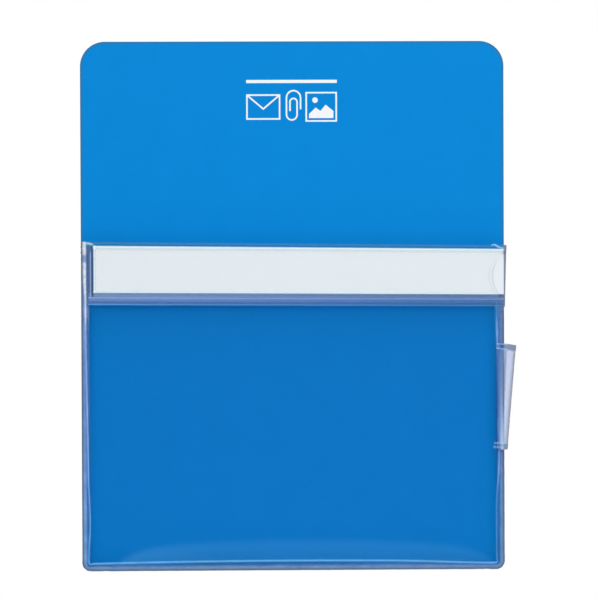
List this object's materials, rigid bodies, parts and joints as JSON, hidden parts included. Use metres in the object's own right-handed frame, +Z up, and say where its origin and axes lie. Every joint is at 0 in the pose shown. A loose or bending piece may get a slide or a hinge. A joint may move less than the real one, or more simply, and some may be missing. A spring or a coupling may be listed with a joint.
{
  "type": "magnetic document pocket",
  "caption": "Magnetic wall pocket: a flexible blue backing board with a clear film pocket, a title card window across its mouth and a small pen sleeve at the side.",
  "frame": {"origin": "centre of the backing board's rear face, the face that clings to the wall", "axes": "+X to the right across the board seen from the front, +Y back towards the wall, +Z up"},
  "size_m": [0.2474, 0.0182, 0.3],
  "materials": {
    "magnet_rubber": "matt calendered ferrite rubber",
    "adhesive": "thin laminating adhesive",
    "blue_plastic": "satin blue vinyl",
    "clear_film": "clear glossy vinyl film with a faint blue cast",
    "white_card": "matt white paper card"
  },
  "bodies": {
    "backing": {"magnet_sheet": "magnet_rubber", "adhesive_film": "adhesive", "face_sheet": "blue_plastic", "gusset_strip": "clear_film"},
    "pocket_front": {"front_film": "clear_film", "title_window": "clear_film", "pen_sleeve_tab": "clear_film"},
    "title_card": {"title_card": "white_card"},
    "pen_sleeve": {"pen_sleeve": "clear_film"}
  },
  "joints": [
    {"name": "pocket_mouth", "type": "hinge", "parent": "backing", "child": "pocket_front", "pos_m": [0, -0.0073, -0.1468], "axis": [1, 0, 0], "range_deg": [0, 1.2], "stiffness_Nm_per_rad": 1},
    {"name": "title_card_slide", "type": "slide", "parent": "pocket_front", "child": "title_card", "axis": [1, 0, 0], "range_m": [0, 0.235]},
    {"name": "pen_sleeve_swing", "type": "hinge", "parent": "pocket_front", "child": "pen_sleeve", "pos_m": [0.1152, -0.008, -0.0514], "axis": [0, 0, -1], "range_deg": [0, 90], "stiffness_Nm_per_rad": 0.001}
  ]
}
